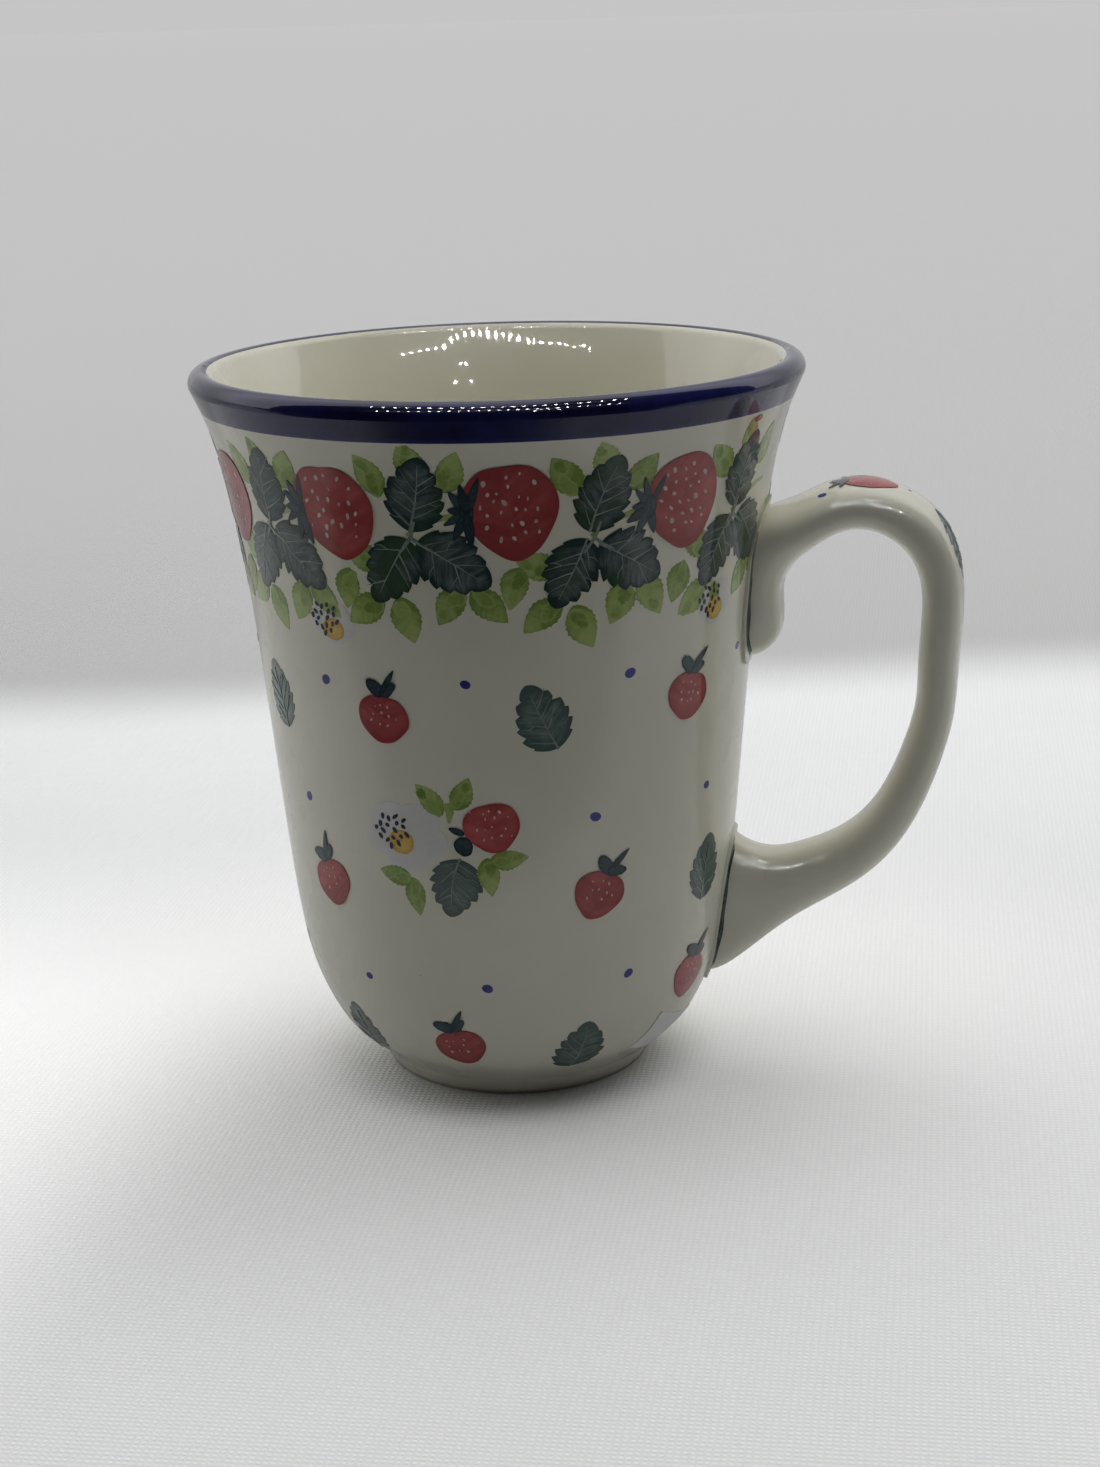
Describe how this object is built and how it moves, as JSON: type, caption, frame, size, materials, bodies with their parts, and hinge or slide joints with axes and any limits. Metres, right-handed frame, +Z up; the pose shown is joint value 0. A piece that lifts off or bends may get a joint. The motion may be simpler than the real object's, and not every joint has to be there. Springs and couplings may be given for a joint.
{
  "type": "stoneware mug",
  "caption": "Tall round drinking mug with a flared rolled rim, a narrow foot ring and a pulled side handle, painted with berries and leaves.",
  "frame": {"origin": "centre of the foot ring on the surface the mug stands on", "axes": "+Z up along the axis of the cup, +X towards the handle, +Y to the left when looking from the cup along the handle"},
  "size_m": [0.1257, 0.1, 0.12],
  "materials": {
    "cream_glaze": "gloss",
    "cobalt_glaze": "gloss",
    "joint_slip": "gloss",
    "label_paper": "matte",
    "berry_paint": "gloss",
    "dark_leaf_paint": "gloss",
    "light_leaf_paint": "gloss",
    "blue_paint": "gloss",
    "yellow_paint": "gloss",
    "white_paint": "gloss"
  },
  "bodies": {
    "root": {"mug_body": "cream_glaze", "handle": "cream_glaze", "rim_band": "cobalt_glaze", "upper_joint_slip": "joint_slip", "lower_joint_slip": "joint_slip", "price_label": "label_paper"}
  },
  "joints": []
}
